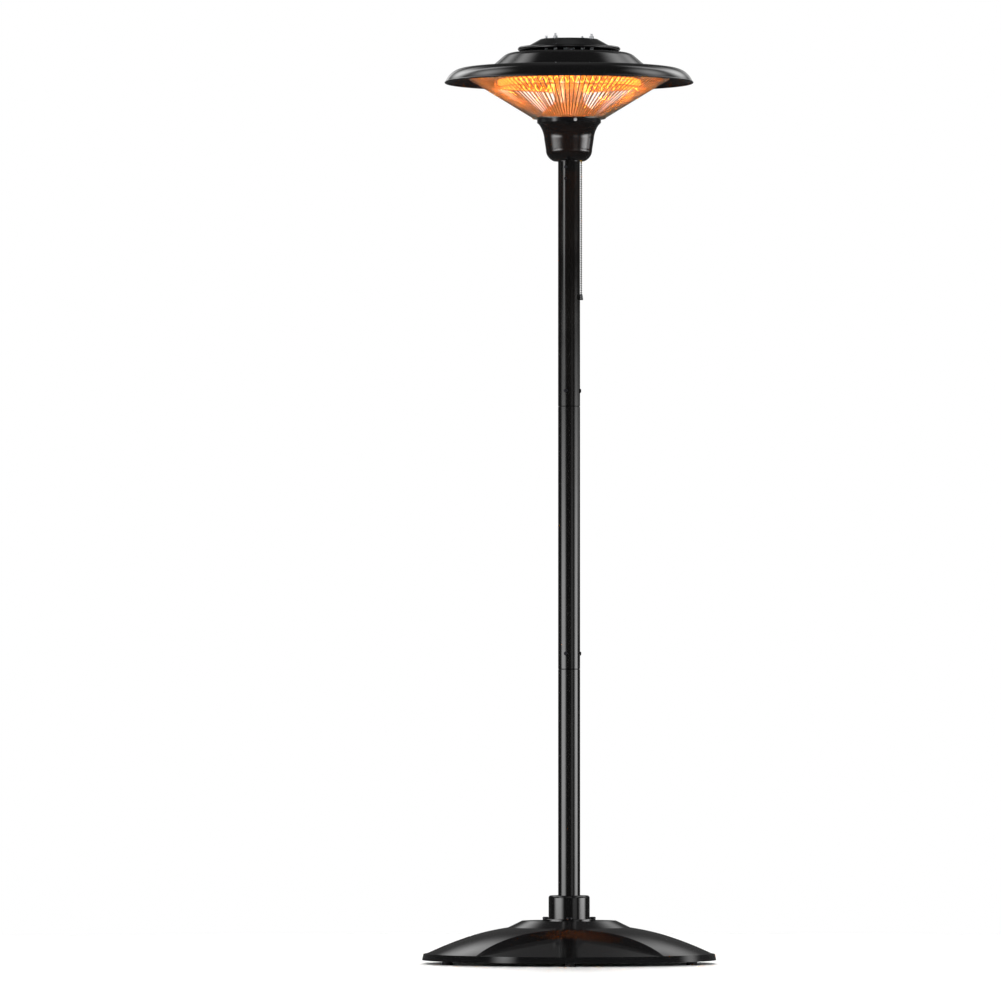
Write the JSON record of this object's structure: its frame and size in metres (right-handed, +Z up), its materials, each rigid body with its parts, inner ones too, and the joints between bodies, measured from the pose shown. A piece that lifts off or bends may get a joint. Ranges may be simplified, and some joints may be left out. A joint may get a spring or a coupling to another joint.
{
  "type": "infrared patio heater tower",
  "caption": "Free-standing electric infrared heater: a round shaded lamp head with a conical wire guard on a three-part pole and a round weighted base, with a pull chain.",
  "frame": {"origin": "on the floor, under the pole axis", "axes": "+Z up along the pole, -Y to the front, +X to the right"},
  "size_m": [0.508, 0.508, 1.6054],
  "materials": {
    "gloss_black_paint": "gloss black paint on pressed and drawn steel",
    "pole_black_paint": "gloss black paint on steel tube",
    "dark_screw": "blackened steel screws",
    "zinc_steel": "bright zinc-plated steel",
    "guard_chrome": "chrome-plated wire",
    "polished_aluminium": "polished aluminium sheet",
    "quartz_glass": "clear quartz",
    "hot_filament": "resistance wire, glowing orange when lit",
    "ceramic_white": "unglazed white ceramic",
    "black_rubber": "matt black rubber",
    "black_plastic": "matt black plastic",
    "ivory_plastic": "ivory moulded plastic",
    "brass": "plain brass",
    "cement_grey": "cast cement",
    "cable_sheath": "black cable sheath",
    "chain_steel": "nickel-plated bead chain"
  },
  "bodies": {
    "stand": {"base_bottom_plate": "zinc_steel", "base_cover": "gloss_black_paint", "base_feet": "black_rubber", "base_flange": "gloss_black_paint", "base_weight": "cement_grey", "cap_nuts": "zinc_steel", "cap_spacers": "zinc_steel", "cap_studs": "zinc_steel", "cap_washers": "zinc_steel", "centre_column": "polished_aluminium", "centre_rod": "zinc_steel", "chain_bush": "brass", "cord_gland": "black_rubber", "feet_screws": "zinc_steel", "flange_bolts": "dark_screw", "flange_nuts": "zinc_steel", "guard_hangers": "zinc_steel", "guard_plate": "zinc_steel", "guard_ring": "guard_chrome", "guard_wires": "guard_chrome", "head_screws": "dark_screw", "head_spider": "zinc_steel", "head_stem": "zinc_steel", "heat_shield": "polished_aluminium", "heating_coil": "hot_filament", "housing_lid": "zinc_steel", "housing_screws": "zinc_steel", "jam_nut": "zinc_steel", "lamp_clips": "zinc_steel", "lamp_end_bracket": "zinc_steel", "lamp_end_caps": "ceramic_white", "lamp_leads": "cable_sheath", "lower_joint_screws": "dark_screw", "lower_rod_nut": "zinc_steel", "lower_tube": "pole_black_paint", "middle_tube": "pole_black_paint", "pole_collar": "gloss_black_paint", "pole_socket": "zinc_steel", "pull_switch_body": "black_plastic", "quartz_tube": "quartz_glass", "reflector": "polished_aluminium", "return_spring": "zinc_steel", "riser_cable": "cable_sheath", "shade": "gloss_black_paint", "supply_cable": "cable_sheath", "switch_housing": "gloss_black_paint", "switch_pin": "brass", "terminal_block": "ivory_plastic", "terminal_bracket": "zinc_steel", "thermal_cutout": "brass", "tip_over_switch": "black_plastic", "top_cap": "gloss_black_paint", "top_rod_nut": "zinc_steel", "upper_dome": "gloss_black_paint", "upper_joint_screws": "dark_screw", "upper_tube": "pole_black_paint"},
    "pull": {"pull_rod": "zinc_steel"},
    "chain": {"pull_chain": "chain_steel", "pull_pendant": "gloss_black_paint"},
    "lever": {"switch_lever": "brass"}
  },
  "joints": [
    {"name": "pull_slide", "type": "slide", "parent": "stand", "child": "pull", "axis": [0, 0, -1], "range_m": [0, 0.01], "stiffness_N_per_m": 300, "springref_m": -0.005, "deforming": ["return_spring"]},
    {"name": "lever_turn", "type": "hinge", "parent": "stand", "child": "lever", "pos_m": [0.02743, 0.00423, 1.4363], "axis": [0.91, -0.4147, 0], "range_deg": [0, 36]},
    {"name": "chain_swing", "type": "hinge", "parent": "pull", "child": "chain", "pos_m": [0.02111, -0.00962, 1.3825], "axis": [-0.4147, -0.91, 0], "range_deg": [0, 30]}
  ],
  "couplings": [
    {"joint": "lever_turn", "follows": "pull_slide", "rad_per_m": 62.48}
  ]
}
